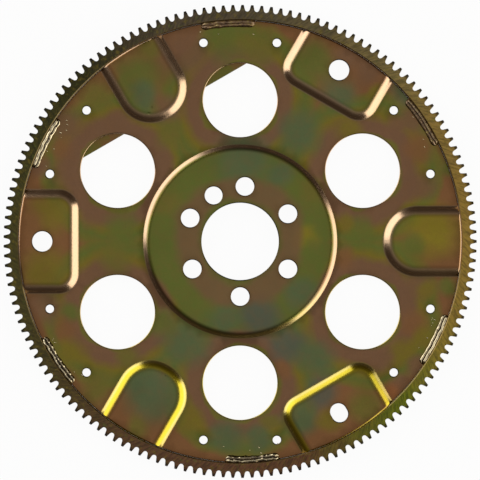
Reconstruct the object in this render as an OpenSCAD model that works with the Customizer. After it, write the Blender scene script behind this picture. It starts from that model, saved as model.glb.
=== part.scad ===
// Flexplate: a stamped sheet-steel drive plate with a welded starter ring gear
// and a balance weight on its back. It lies flat on the back face of the ring.
// +Z points to the raised side, the axis of rotation is Z, and z = 0 is the
// back face of the ring gear.

/* [Ring gear] */
// Number of starter teeth
tooth_count = 153; // [120:1:168]
// Diameter over the tooth tips
tip_d = 326.5; // [322:0.5:350]
// Depth of a tooth from tip to root
tooth_depth = 4.5; // [3.5:0.1:5]
// Width of a tooth at its tip
tooth_tip_w = 1.7; // [0.8:0.1:2.2]
// Width of a tooth where its flank meets the round gullet
tooth_base_w = 3.25; // [2.5:0.05:3.6]
// Depth of the round gullet between two teeth
gullet_depth = 1.3; // [0.8:0.1:1.8]
// Wall of the ring between its bore and the tooth roots
ring_wall = 5.85; // [4:0.05:8]
// Width of the ring along the axis
ring_w = 10; // [9.5:0.5:14]
// Bevel along both edges of the bore
bore_bevel = 0.6; // [0.2:0.1:1]
// Bevel on the tooth ends at the back, where the starter pinion enters
tooth_bevel = 1.2; // [0.5:0.1:2]

/* [Disc] */
// Thickness of the sheet
sheet_t = 2.8; // [2:0.1:3.4]
// Depth of the flat web below the front face of the ring
web_depth = 3; // [2:0.1:4]
// Gap between the edge of the disc and the bore of the ring
fit_gap = 0.15; // [0.05:0.05:0.4]

/* [Hub boss] */
// Diameter of the boss at the foot of its wall
boss_foot_d = 134.6; // [124:0.2:138]
// Height of the boss above the web
boss_rise = 2.6; // [2:0.1:4]
// Slope of the boss wall in degrees
boss_slope = 40; // [30:1:55]
// Round along the top of the boss wall
boss_crown_r = 6; // [4.5:0.1:7]
// Round along the foot of the boss wall
boss_foot_r = 1; // [0.5:0.1:2]
// Diameter of the crank pilot hole
pilot_d = 53.4; // [40:0.1:58]
// Diameter of the crank bolt circle
crank_circle_d = 76.2; // [74:0.1:90]
// Diameter of a crank bolt hole
crank_hole_d = 12.8; // [8:0.1:14]
// Turn in degrees of the two crank bolt holes beside the dowel, away from it
crank_spread = 5; // [0:0.5:8]
// Distance of the dowel hole from the axis
dowel_radius = 36.65; // [36:0.05:44]
// Diameter of the dowel hole
dowel_d = 12.3; // [8:0.1:13]

/* [Pads] */
// Height of the pads above the web
pad_rise = 4.2; // [3.4:0.1:6]
// Slope of the pad walls in degrees
pad_slope = 46; // [36:1:50]
// Round along the top of a pad wall
pad_crown_r = 10; // [6:0.5:11]
// Round along the foot of a pad wall
pad_foot_r = 2.5; // [1:0.1:3]
// Width of a converter pad at the foot of its walls
bolt_pad_w = 73.2; // [64:0.2:78]
// Distance from the axis to the inner foot of a converter pad
bolt_pad_inner = 110.9; // [104:0.1:116]
// Corner radius of a converter pad at its foot
bolt_pad_corner = 14.5; // [13:0.5:18]
// Width of a stiffening pad at the foot of its walls
plain_pad_w = 50; // [44:0.2:56]
// Distance from the axis to the inner foot of a stiffening pad
plain_pad_inner = 98.3; // [94:0.1:110]
// Straight length between the round corners at the inner end of a stiffening pad
plain_pad_flat = 2; // [1:0.5:12]
// Diameter of the converter bolt circle
converter_circle_d = 273.05; // [266:0.05:280]
// Diameter of a round converter bolt hole
converter_hole_d = 14; // [10:0.1:16]
// Width of the slotted converter bolt hole
converter_slot_w = 11.4; // [9:0.1:14]
// Length of the slotted converter bolt hole along the radius
converter_slot_l = 13.4; // [11:0.1:17]

/* [Web holes] */
// Diameter of a lightening hole
light_hole_d = 51.4; // [36:0.2:54]
// Distance of the lightening holes from the axis
light_hole_radius = 97.8; // [95:0.1:101]
// Diameter of a small hole near the rim
rim_hole_d = 5.8; // [3:0.1:8]
// Distance from the edge of the disc to the centre of a small hole
rim_hole_inset = 13.1; // [10:0.1:16]
// Distance between the two small holes of a pair
rim_hole_pitch = 50.8; // [40:0.1:56]

/* [Balance weight] */
// Thickness of the weight
weight_t = 3.2; // [1.5:0.1:4]
// Gap between the edge of the disc and the curved edge of the weight
weight_edge_gap = 18.75; // [17.75:0.25:24]
// Width of the weight in its middle, from the straight to the curved edge
weight_w = 29.4; // [22:0.1:33]
// Length of the weight along its straight edge
weight_l = 160; // [120:1:164]

/* [Welds] */
// Length of a ring weld along the rim, between its end puddles
ring_weld_l = 32; // [12:0.5:44]
// Turn of the ring welds past the middle between two pads, in degrees
ring_weld_turn = 3.2; // [-4:0.1:6]
// Radius of a ring weld bead
ring_bead_r = 3.2; // [2.4:0.1:3.6]
// Length of a weld on the curved edge of the weight, between its end puddles
arc_weld_l = 14; // [6:0.5:18]
// Length of a weld on the straight edge of the weight, between its end puddles
chord_weld_l = 5.4; // [3:0.1:7]
// Spacing of the puddles along a weld
puddle_pitch = 2.3; // [1.6:0.1:3]
// Radius of a weld bead on the weight
weight_bead_r = 2.6; // [1.6:0.1:3]
// Distance from the end of the weight to a weld on its straight edge
chord_weld_inset = 0.4; // [0:0.1:1]
// Distance from the end of the weight to the middle of a weld on its curved edge
arc_weld_inset = 17.9; // [14:0.1:22]

/* [Hidden] */
// Smoothness of the round surfaces
$fa = 4;
$fs = 0.6;
// Facets on the circles as large as the rim
rim_fn = 240;
// Overshoot of the cutting bodies
cut = 1;
// Overlap of the sheet's flat web with the foot of each raised form
lap = 1;
sectors = 6;
sector_angle = 360 / sectors;
// Direction of the dowel hole, which is also the heavy side
dowel_angle = 2 * sector_angle;
// Directions of the crank bolt holes
crank_angles = [for (i = [0:sectors - 1])
    (i + 0.5) * sector_angle + (i == 1 ? -crank_spread : i == 2 ? crank_spread : 0)];
ring_welds = sectors;
weight_welds = 4;

// Levels along the axis
web_back = ring_w - web_depth - sheet_t;
web_front = web_back + sheet_t;
weight_back = web_back - weight_t;

// Radii of the ring and the disc
tip_r = tip_d / 2;
root_r = tip_r - tooth_depth;
bore_r = root_r - ring_wall;
web_r = bore_r - fit_gap;
crank_circle_r = crank_circle_d / 2;
converter_circle_r = converter_circle_d / 2;
rim_hole_radius = web_r - rim_hole_inset;
rim_hole_turn = asin(rim_hole_pitch / 2 / rim_hole_radius);
plain_pad_corner = (plain_pad_w - plain_pad_flat) / 2;

// Edges of the balance weight, and the turn of the welds on its curved edge
weight_radius = web_r - weight_edge_gap;
weight_chord = weight_radius - weight_w;
weight_half_l = min(weight_l / 2, sqrt(weight_radius ^ 2 - weight_chord ^ 2));
arc_weld_turn = asin(weight_half_l / weight_radius) - arc_weld_inset / weight_radius * 180 / PI;

// A gullet is an arc that dips gullet_depth below the ends of the flanks
tooth_angle = 360 / tooth_count;
gullet_r = root_r + gullet_depth;
gullet_half_w = gullet_r * sin(tooth_angle / 2) - tooth_base_w / 2;
gullet_arc_r = (gullet_half_w ^ 2 + gullet_depth ^ 2) / (2 * gullet_depth);
gullet_arc_half = asin(gullet_half_w / gullet_arc_r);
gullet_steps = 6;

// Flat steps that stand for the round of a bend
bend_steps = 6;

// The middle of a bead lies inside the corner that it fills
bead_sink = 0.12;
bead_offset = 0.56;

// Colours of the plated steel
disc_colour = "#6f5f33";
ring_colour = "#5f5537";
weight_colour = "#5d5230";
weld_colour = "#4a3d25";

// Slope of a wall, which a low rise with large rounds can't reach in full
function wall_slope(rise, slope, crown_r, foot_r) =
    min(slope, acos(max(0, 1 - rise / (crown_r + foot_r))));

// Length in plan of a wall with rounded crown and foot
function wall_run(rise, slope, crown_r, foot_r) =
    (crown_r + foot_r) * sin(slope) + wall_straight(rise, slope, crown_r, foot_r) * cos(slope);

// Length of the straight part of that wall
function wall_straight(rise, slope, crown_r, foot_r) =
    max(0, (rise - (crown_r + foot_r) * (1 - cos(slope))) / sin(slope));

boss_wall_slope = wall_slope(boss_rise, boss_slope, boss_crown_r, boss_foot_r);
boss_run = wall_run(boss_rise, boss_wall_slope, boss_crown_r, boss_foot_r);
pad_wall_slope = wall_slope(pad_rise, pad_slope, pad_crown_r, pad_foot_r);
pad_run = wall_run(pad_rise, pad_wall_slope, pad_crown_r, pad_foot_r);

// Points of an arc around a centre, swung from angle a to angle b off +Y
function swing(centre, r, a, b) =
    [for (i = [0:bend_steps])
        let (turn = a + (b - a) * i / bend_steps)
        centre + r * [sin(turn), cos(turn)]];

// Section of a raised form: flat top, crown, sloping wall, foot and a short
// flat lap that joins the web, all one sheet thick. x runs outward from the
// middle of the flat, y is the height above the back of the web.
module raised_section(flat, rise, slope, crown_r, foot_r) {
    run = wall_run(rise, slope, crown_r, foot_r);
    crown = [flat, rise + sheet_t - crown_r];
    foot = [flat + run, sheet_t + foot_r];
    polygon(concat(
        [[0, rise], [0, rise + sheet_t]],
        swing(crown, crown_r, 0, slope),
        swing(foot, foot_r, 180 + slope, 180),
        [[flat + run + lap, sheet_t], [flat + run + lap, 0]],
        swing(foot, foot_r + sheet_t, 180, 180 + slope),
        swing(crown, crown_r - sheet_t, slope, 0)
    ));
}

module pad_section(flat) {
    raised_section(flat, pad_rise, pad_wall_slope, pad_crown_r, pad_foot_r);
}

// Outline of a pad that opens to the rim along +X
module pad_outline(width, inner, corner) {
    reach = tip_r - inner;
    translate([inner, corner - width / 2])
        square([reach, width - 2 * corner]);
    translate([inner + corner, -width / 2])
        square([reach - corner, width]);
    for (side = [-1, 1])
        translate([inner + corner, side * (width / 2 - corner)])
            circle(corner);
}

// Straight stretch of a pad wall along +X, raised side towards +Y
module straight_wall(length, flat) {
    rotate([90, 0, 90])
        linear_extrude(length)
            pad_section(flat);
}

// Raised pad that opens to the rim along +X and runs past it
module pad(width, inner, corner) {
    corner_x = inner + corner;
    corner_y = width / 2 - corner;
    corner_flat = corner - pad_run;
    for (side = [0, 1])
        mirror([0, side, 0]) {
            translate([corner_x, 0, 0])
                straight_wall(tip_r - corner_x, width / 2 - pad_run);
            translate([corner_x, corner_y, 0])
                rotate([0, 0, 90])
                    rotate_extrude(angle = 90)
                        pad_section(corner_flat);
        }
    translate([corner_x, -corner_y, 0])
        rotate([0, 0, 90])
            straight_wall(2 * corner_y, corner_flat);
}

// Openings of the web, which end halfway across the laps of the pads
module bolt_pad_opening() {
    pad_outline(bolt_pad_w + lap, bolt_pad_inner - lap / 2, bolt_pad_corner + lap / 2);
}

module plain_pad_opening() {
    pad_outline(plain_pad_w + lap, plain_pad_inner - lap / 2, plain_pad_corner + lap / 2);
}

// Turns its children to a sector in two steps of 60, 120 or 240 degrees. Such a
// turn is rounded a little, which moves the faces of the sheet by the same
// amount in each sector only when each has the same number of these steps.
module to_sector(i) {
    step = (i % 3 == 1 ? 2 : 1) * sector_angle;
    rotate([0, 0, step])
        rotate([0, 0, i * sector_angle - step])
            children();
}

// Repeats its children every other sector, starting at the given sector
module every_other_sector(first) {
    for (i = [first:2:sectors - 1])
        rotate([0, 0, i * sector_angle])
            children();
}

// Repeats its children in the middle of each sector between two pads
module between_pads() {
    for (i = [0:sectors - 1])
        rotate([0, 0, (i + 0.5) * sector_angle])
            children();
}

// Flat sheet with openings for the boss and the pads, which runs past the rim
module web() {
    linear_extrude(sheet_t)
        difference() {
            circle(root_r, $fn = rim_fn);
            circle(d = boss_foot_d + lap);
            every_other_sector(0)
                plain_pad_opening();
            every_other_sector(1)
                bolt_pad_opening();
        }
}

module boss() {
    rotate_extrude()
        raised_section(boss_foot_d / 2 - boss_run, boss_rise, boss_wall_slope, boss_crown_r, boss_foot_r);
}

module hole(d) {
    translate([0, 0, -cut])
        cylinder(d = d, h = sheet_t + max(pad_rise, boss_rise) + 2 * cut);
}

module hub_holes() {
    hole(pilot_d);
    for (a = crank_angles)
        rotate([0, 0, a])
            translate([crank_circle_r, 0, 0])
                hole(crank_hole_d);
    rotate([0, 0, dowel_angle])
        translate([dowel_radius, 0, 0])
            hole(dowel_d);
}

// Two round converter holes, and a slotted one across from the dowel
module converter_holes() {
    slot_travel = converter_slot_l - converter_slot_w;
    for (a = [dowel_angle - sector_angle, dowel_angle + sector_angle])
        rotate([0, 0, a])
            translate([converter_circle_r, 0, 0])
                hole(converter_hole_d);
    rotate([0, 0, dowel_angle + 180])
        translate([converter_circle_r, 0, 0]) {
            for (side = [-1, 1])
                translate([side * slot_travel / 2, 0, 0])
                    hole(converter_slot_w);
            translate([-slot_travel / 2, -converter_slot_w / 2, -cut])
                cube([slot_travel, converter_slot_w, sheet_t + pad_rise + 2 * cut]);
        }
}

module web_holes() {
    between_pads() {
        translate([light_hole_radius, 0, 0])
            hole(light_hole_d);
        for (side = [-1, 1])
            rotate([0, 0, side * rim_hole_turn])
                translate([rim_hole_radius, 0, 0])
                    hole(rim_hole_d);
    }
}

// Flat web, hub boss, three converter pads and three stiffening pads
module sheet() {
    to_sector(0) {
        web();
        boss();
    }
    for (i = [0:2:sectors - 1])
        to_sector(i)
            pad(plain_pad_w, plain_pad_inner, plain_pad_corner);
    for (i = [1:2:sectors - 1])
        to_sector(i)
            pad(bolt_pad_w, bolt_pad_inner, bolt_pad_corner);
}

// One stamped sheet, trimmed round and with all holes punched through it
module disc() {
    color(disc_colour)
        translate([0, 0, web_back])
            difference() {
                intersection() {
                    union()
                        sheet();
                    translate([0, 0, -cut])
                        cylinder(r = web_r, h = pad_rise + sheet_t + 2 * cut, $fn = rim_fn);
                }
                hub_holes();
                converter_holes();
                web_holes();
            }
}

// Outline points of one tooth and the gullet after it, centred on +X
function tooth_points() = concat(
    [[tip_r, -tooth_tip_w / 2], [tip_r, tooth_tip_w / 2]],
    [for (i = [0:gullet_steps])
        let (a = gullet_arc_half * (2 * i / gullet_steps - 1))
        turned(
            [root_r + gullet_arc_r * (1 - cos(a)), gullet_arc_r * sin(a)],
            tooth_angle / 2
        )]
);

function turned(p, a) = [p.x * cos(a) - p.y * sin(a), p.x * sin(a) + p.y * cos(a)];

// Ring gear with a tooth centred on +X, bevelled bore and bevelled tooth ends
module ring_gear() {
    outline = [for (i = [0:tooth_count - 1], p = tooth_points()) turned(p, i * tooth_angle)];
    color(ring_colour)
        difference() {
            linear_extrude(ring_w)
                polygon(outline);
            rotate_extrude($fn = rim_fn)
                bore_section();
            rotate_extrude($fn = rim_fn)
                tooth_bevel_section();
        }
}

// Half section of the bore, opening with a bevel at both faces
module bore_section() {
    mouth_r = bore_r + bore_bevel + cut;
    polygon([
        [0, -cut],
        [mouth_r, -cut],
        [bore_r, bore_bevel],
        [bore_r, ring_w - bore_bevel],
        [mouth_r, ring_w + cut],
        [0, ring_w + cut]
    ]);
}

// Section of what is cut from the tooth ends at the back
module tooth_bevel_section() {
    polygon([
        [tip_r - tooth_bevel - cut, -cut],
        [tip_r + cut, -cut],
        [tip_r + cut, tooth_bevel + cut]
    ]);
}

// Flat segment on the back of the web, on the heavy side
module balance_weight() {
    color(weight_colour)
        translate([0, 0, weight_back])
            rotate([0, 0, dowel_angle])
                linear_extrude(weight_t)
                    intersection() {
                        circle(weight_radius, $fn = rim_fn);
                        translate([weight_chord, -weight_l / 2])
                            square([weight_w, weight_l]);
                    }
}

// Row of overlapping puddles around the Z axis, with its middle on +X
module curved_bead(path_r, bead_r, length) {
    count = round(length / puddle_pitch);
    step = length / path_r * 180 / PI / count;
    for (i = [0:count])
        rotate([0, 0, (i - count / 2) * step])
            translate([path_r, 0, 0])
                sphere(bead_r);
}

// Row of overlapping puddles along Y
module straight_bead(bead_r, length) {
    count = round(length / puddle_pitch);
    for (i = [0:count])
        translate([0, (i / count - 0.5) * length, 0])
            sphere(bead_r);
}

// Fillet weld in the corner between the front of the web and the ring bore
module ring_weld(index) {
    color(weld_colour)
        rotate([0, 0, (index - 0.5) * sector_angle + ring_weld_turn])
            intersection() {
                translate([0, 0, web_front - bead_sink * ring_bead_r])
                    curved_bead(bore_r - bead_offset * ring_bead_r, ring_bead_r, ring_weld_l);
                translate([0, 0, web_front])
                    cylinder(r = bore_r, h = 2 * ring_bead_r, $fn = rim_fn);
            }
}

// Fillet weld in the corner between the back of the web and an edge of the
// weight: 1 and 2 on the curved edge, 3 and 4 on the straight edge
module weight_weld(index) {
    side = index % 2 == 0 ? 1 : -1;
    color(weld_colour)
        rotate([0, 0, dowel_angle])
            if (index <= 2)
                arc_weld(side);
            else
                chord_weld(side);
}

module arc_weld(side) {
    depth = 2 * weight_bead_r;
    rotate([0, 0, side * arc_weld_turn])
        intersection() {
            translate([0, 0, web_back + bead_sink * weight_bead_r])
                curved_bead(weight_radius + bead_offset * weight_bead_r, weight_bead_r, arc_weld_l);
            translate([0, 0, web_back - depth])
                rotate_extrude($fn = rim_fn)
                    translate([weight_radius, 0])
                        square(depth);
        }
}

module chord_weld(side) {
    depth = 2 * weight_bead_r;
    reach = chord_weld_l / 2 + weight_bead_r;
    middle = weight_half_l - chord_weld_inset - reach;
    translate([weight_chord, side * middle, web_back])
        intersection() {
            translate([-bead_offset * weight_bead_r, 0, bead_sink * weight_bead_r])
                straight_bead(weight_bead_r, chord_weld_l);
            translate([-depth, -reach, -depth])
                cube([depth, 2 * reach, depth]);
        }
}

disc();
ring_gear();
balance_weight();
for (i = [1:ring_welds])
    ring_weld(i);
for (i = [1:weight_welds])
    weight_weld(i);
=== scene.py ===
import math
import random

import bpy
import numpy as np
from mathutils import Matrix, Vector, noise
from mathutils.geometry import delaunay_2d_cdt


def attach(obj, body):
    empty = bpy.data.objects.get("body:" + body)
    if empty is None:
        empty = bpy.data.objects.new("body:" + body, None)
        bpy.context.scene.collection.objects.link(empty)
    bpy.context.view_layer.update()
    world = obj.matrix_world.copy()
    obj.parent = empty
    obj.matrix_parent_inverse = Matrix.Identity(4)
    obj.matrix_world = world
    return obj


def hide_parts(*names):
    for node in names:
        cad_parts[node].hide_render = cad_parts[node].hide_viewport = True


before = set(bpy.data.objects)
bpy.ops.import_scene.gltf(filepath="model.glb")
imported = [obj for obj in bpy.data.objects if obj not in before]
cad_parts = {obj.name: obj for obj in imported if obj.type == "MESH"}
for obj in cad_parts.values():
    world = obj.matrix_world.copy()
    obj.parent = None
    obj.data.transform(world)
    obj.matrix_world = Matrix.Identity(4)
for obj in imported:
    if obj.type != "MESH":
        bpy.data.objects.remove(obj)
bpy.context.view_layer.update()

# Sizes of the part in millimetres, as in its source. Meshes are scaled to metres.
MM = 0.001
TOOTH_COUNT = 153
TIP_R = 163.25
TOOTH_DEPTH = 4.5
TOOTH_TIP_W = 1.7
TOOTH_BASE_W = 3.25
GULLET_DEPTH = 1.3
BORE_R = 152.9
RING_W = 10.0
BORE_BEVEL = 0.6
TOOTH_BEVEL = 1.2
SHEET_T = 2.8
WEB_BACK = 4.2
WEB_FRONT = WEB_BACK + SHEET_T
WEB_R = 152.75
SECTORS = 6
SECTOR = 360 / SECTORS
BOSS_FOOT_R = 67.3
# Each form's last entry is the sine of its walls' tilt at which their painted highlight tint begins
BOSS = {"rise": 2.6, "slope": 40, "crown_r": 6.0, "foot_r": 1.0, "sag": 0.12, "sag_w": 3.5, "wall_highlight": 0.36}
PAD = {"rise": 4.2, "slope": 46, "crown_r": 10.0, "foot_r": 2.5, "sag": 0.5, "sag_w": 6.5, "wall_highlight": 0.22}
PLAIN_PAD = {"width": 50.0, "inner": 98.3, "corner": 24.0}
BOLT_PAD = {"width": 73.2, "inner": 110.9, "corner": 14.5}
LIGHT_CIRCLE_R = 97.8
LIGHT_HOLE_R = 25.7
CENTRE_HOLE_R = 26.7
CRANK_CIRCLE_R = 38.1
CRANK_HOLE_R = 6.4
CRANK_ANGLES = (30, 85, 155, 210, 270, 330)
DOWEL_CIRCLE_R = 36.65
DOWEL_HOLE_R = 6.15
CONVERTER_CIRCLE_R = 136.525
CONVERTER_HOLE_R = 7.0
CONVERTER_ANGLES = (60, 180)
SLOT_ANGLE = 300
SLOT_HALF_W = 5.7
SLOT_TRAVEL = 1.0
RIM_CIRCLE_R = WEB_R - 13.1
RIM_HOLE_R = 2.9
RIM_HOLE_OFFSET = 25.4
HEAVY_ANGLE = 120
WEIGHT_CHORD = 104.6
WEIGHT_RADIUS = 134.0
WEIGHT_L = 160.0
WEIGHT_T = 3.2
WEIGHT_HALF = min(WEIGHT_L / 2, math.sqrt(WEIGHT_RADIUS ** 2 - WEIGHT_CHORD ** 2))


def polar(radius, degrees):
    a = math.radians(degrees)
    return np.array([radius * math.cos(a), radius * math.sin(a)])


def run_of(form):
    """Length in plan of a raised form's wall."""
    slope = math.radians(form["slope"])
    rounds = form["crown_r"] + form["foot_r"]
    straight = (form["rise"] - rounds * (1 - math.cos(slope))) / math.sin(slope)
    return rounds * math.sin(slope) + straight * math.cos(slope)


BOSS_RUN = run_of(BOSS)
PAD_RUN = run_of(PAD)


def new_object(name, points, faces, sharp_degrees=None):
    """Mesh object from points in millimetres, shaded smooth between its sharp edges."""
    mesh = bpy.data.meshes.new(name)
    mesh.from_pydata((np.asarray(points) * MM).tolist(), [], faces)
    mesh.polygons.foreach_set("use_smooth", [True] * len(mesh.polygons))
    if sharp_degrees is not None:
        mesh.set_sharp_from_angle(angle=math.radians(sharp_degrees))
    obj = bpy.data.objects.new(name, mesh)
    bpy.context.collection.objects.link(obj)
    return obj


def add_piece(obj, material, slot, *nodes):
    """Dresses a new piece, which rides on the one body and stands for the CAD nodes."""
    obj.data.materials.append(material)
    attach(obj, "root")
    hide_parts(*nodes)


# Film colours of the plating, as they show on flat metal under this light
MAUVE = "#684c36"
RUST = "#704d2f"
COPPER = "#7d4e2d"
OCHRE = "#695c20"
GOLD = "#766a1e"
OLIVE = "#605a26"
GREEN = "#565c27"
TEAL = "#4d583a"
SLATE = "#4c4f42"
# Share of the written colour that flat metal shows, and the level that its clear film adds
SHOWN = 0.8
SHEEN = 0.007


def linear(colour):
    """Linear RGBA of a hex colour."""
    rgb = [int(colour[i:i + 2], 16) / 255 for i in (1, 3, 5)]
    return [c / 12.92 if c <= 0.04045 else ((c + 0.055) / 1.055) ** 2.4 for c in rgb] + [1.0]


def metal(colour, shown=SHOWN):
    """Base colour of a metal whose flat faces show the given colour."""
    return [min(1.0, max(0.0, c - SHEEN) / shown) for c in linear(colour)[:3]] + [1.0]


class Finish:
    """One metal material with short calls for the nodes that it uses."""

    def __init__(self, name, metallic=1.0, coat=0.2, coat_roughness=0.15):
        self.material = bpy.data.materials.new(name)
        self.material.use_nodes = True
        self.nodes = self.material.node_tree.nodes
        self.links = self.material.node_tree.links
        self.surface = self.nodes["Principled BSDF"]
        self.surface.inputs["Metallic"].default_value = metallic
        self.surface.inputs["Coat Weight"].default_value = coat
        self.surface.inputs["Coat Roughness"].default_value = coat_roughness
        self.surface.inputs["Coat IOR"].default_value = 1.6
        where = self.nodes.new("ShaderNodeTexCoord").outputs["Object"]
        self.place = self.vector("SCALE", where, scale=1 / MM)

    def join(self, value, socket):
        if isinstance(value, bpy.types.NodeSocket):
            self.links.new(value, socket)
        else:
            socket.default_value = value

    def math(self, operation, a, b=0.0, c=0.0, clamp=False):
        node = self.nodes.new("ShaderNodeMath")
        node.operation = operation
        node.use_clamp = clamp
        for value, socket in zip((a, b, c), node.inputs):
            self.join(value, socket)
        return node.outputs["Value"]

    def vector(self, operation, a, b=(0, 0, 0), scale=1.0):
        node = self.nodes.new("ShaderNodeVectorMath")
        node.operation = operation
        self.join(a, node.inputs[0])
        if operation == "SCALE":
            self.join(scale, node.inputs["Scale"])
        elif operation != "LENGTH":
            self.join(b, node.inputs[1])
        return node.outputs["Value" if operation in ("LENGTH", "DISTANCE") else "Vector"]

    def split(self, vector):
        node = self.nodes.new("ShaderNodeSeparateXYZ")
        self.join(vector, node.inputs[0])
        return node.outputs[0], node.outputs[1], node.outputs[2]

    def combine(self, x, y, z):
        node = self.nodes.new("ShaderNodeCombineXYZ")
        for value, socket in zip((x, y, z), node.inputs):
            self.join(value, socket)
        return node.outputs[0]

    def noise(self, vector, scale, detail=2.0, roughness=0.5, output="Fac"):
        node = self.nodes.new("ShaderNodeTexNoise")
        self.join(vector, node.inputs["Vector"])
        node.inputs["Scale"].default_value = scale
        node.inputs["Detail"].default_value = detail
        node.inputs["Roughness"].default_value = roughness
        return node.outputs[output]

    def smooth(self, value, start, end, low=0.0, high=1.0):
        """Eases from low to high while the value goes from start to end."""
        node = self.nodes.new("ShaderNodeMapRange")
        node.interpolation_type = "SMOOTHSTEP"
        for item, socket in zip((value, start, end, low, high), node.inputs):
            self.join(item, socket)
        return node.outputs["Result"]

    def ramp(self, value, stops):
        node = self.nodes.new("ShaderNodeValToRGB")
        elements = node.color_ramp.elements
        while len(elements) < len(stops):
            elements.new(1.0)
        for element, (position, colour) in zip(elements, stops):
            element.position = position
            element.color = colour
        self.join(value, node.inputs["Fac"])
        return node.outputs["Color"]

    def mix(self, factor, a, b, blend="MIX"):
        node = self.nodes.new("ShaderNodeMix")
        node.data_type = "RGBA"
        node.blend_type = blend
        colours = [s for s in node.inputs if s.type == "RGBA"]
        self.join(factor, node.inputs[0])
        self.join(a, colours[0])
        self.join(b, colours[1])
        return [s for s in node.outputs if s.type == "RGBA"][0]

    def attribute(self, name):
        node = self.nodes.new("ShaderNodeAttribute")
        node.attribute_name = name
        return node.outputs["Fac"]

    def bump(self, height, distance_mm, strength=1.0, below=None):
        node = self.nodes.new("ShaderNodeBump")
        node.inputs["Strength"].default_value = strength
        node.inputs["Distance"].default_value = distance_mm * MM
        self.join(height, node.inputs["Height"])
        if below is not None:
            self.links.new(below, node.inputs["Normal"])
        return node.outputs["Normal"]

    def finish(self, colour, roughness, normal=None):
        self.join(colour, self.surface.inputs["Base Color"])
        self.join(roughness, self.surface.inputs["Roughness"])
        if normal is not None:
            self.links.new(normal, self.surface.inputs["Normal"])
        return self.material


# Where the film of the sheet differs: x, y, radius and colour of soft patches
SHEET_PATCHES = (
    (-40, 132, 26, MAUVE), (-10, 139, 22, GREEN), (12, 133, 18, OLIVE), (-70, 112, 25, GREEN),
    (-66, 100, 13, TEAL), (-93, 112, 13, RUST), (-62, 134, 12, OLIVE), (-99, 100, 17, OLIVE),
    (-119, 80, 17, MAUVE), (-123, 64, 12, RUST), (-117, 47, 19, MAUVE), (-83, 80, 12, MAUVE),
    (-49, 90, 15, MAUVE), (-48, 74, 15, OLIVE), (-53, 57, 10, MAUVE), (2, 58, 26, TEAL),
    (-34, 45, 16, GREEN), (-49, 26, 13, OLIVE), (-81, 10, 19, GREEN), (-103, 18, 12, MAUVE),
    (-132, 20, 20, OCHRE), (-134, -20, 22, OCHRE), (-145, 12, 13, RUST), (51, 124, 22, GREEN),
    (68, 103, 17, TEAL), (89, 121, 17, MAUVE), (93, 101, 9, OCHRE), (113, 102, 12, TEAL),
    (117, 84, 13, MAUVE), (106, 82, 9, MAUVE), (122, 66, 14, RUST), (144, 52, 11, GREEN),
    (122, 39, 17, MAUVE), (41, 78, 22, TEAL), (30, 99, 12, MAUVE), (74, 77, 13, OCHRE),
    (73, 128, 11, MAUVE), (46, 2, 13, GOLD),
    (57, 55, 13, MAUVE), (28, 46, 13, TEAL), (49, 35, 13, OLIVE), (83, 8, 15, GREEN),
    (72, 14, 9, OCHRE), (131, 6, 26, GOLD), (118, -4, 12, GREEN), (-135, -44, 18, MAUVE),
    (-117, -47, 10, GREEN), (-121, -61, 13, RUST), (-117, -76, 15, OCHRE), (-101, -99, 17, OLIVE),
    (-77, -80, 13, OLIVE), (-39, -71, 23, TEAL), (-55, -57, 12, GREEN), (-86, -10, 16, OLIVE),
    (-63, -36, 14, MAUVE), (-60, -107, 26, TEAL), (-66, -100, 14, TEAL), (-72, -128, 12, OLIVE),
    (-35, -123, 14, OCHRE), (-10, -135, 18, TEAL), (12, -137, 14, TEAL), (21, -124, 10, OLIVE),
    (-34, -41, 16, GREEN), (-12, -54, 18, TEAL), (14, -52, 20, SLATE), (43, -36, 16, TEAL),
    (52, -10, 14, GREEN), (72, -12, 12, RUST), (122, -30, 16, MAUVE), (129, -35, 9, OCHRE),
    (144, -33, 10, GREEN), (119, -57, 13, RUST), (126, -67, 12, OCHRE), (111, -76, 13, OCHRE),
    (96, -80, 12, MAUVE), (35, -72, 20, SLATE), (54, -80, 17, TEAL), (30, -89, 9, RUST),
    (56, -103, 16, SLATE), (42, -122, 18, TEAL), (61, -123, 13, OCHRE), (86, -113, 15, OLIVE),
    (120, -86, 9, MAUVE), (112, -98, 11, MAUVE), (104, -104, 12, COPPER), (-138, 52, 10, MAUVE),
)


# Width of the colour bands beside a lightening hole, and radius of the band through the crank holes
BAND_W = 30.0
HUB_BAND_R = 37.0


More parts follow.
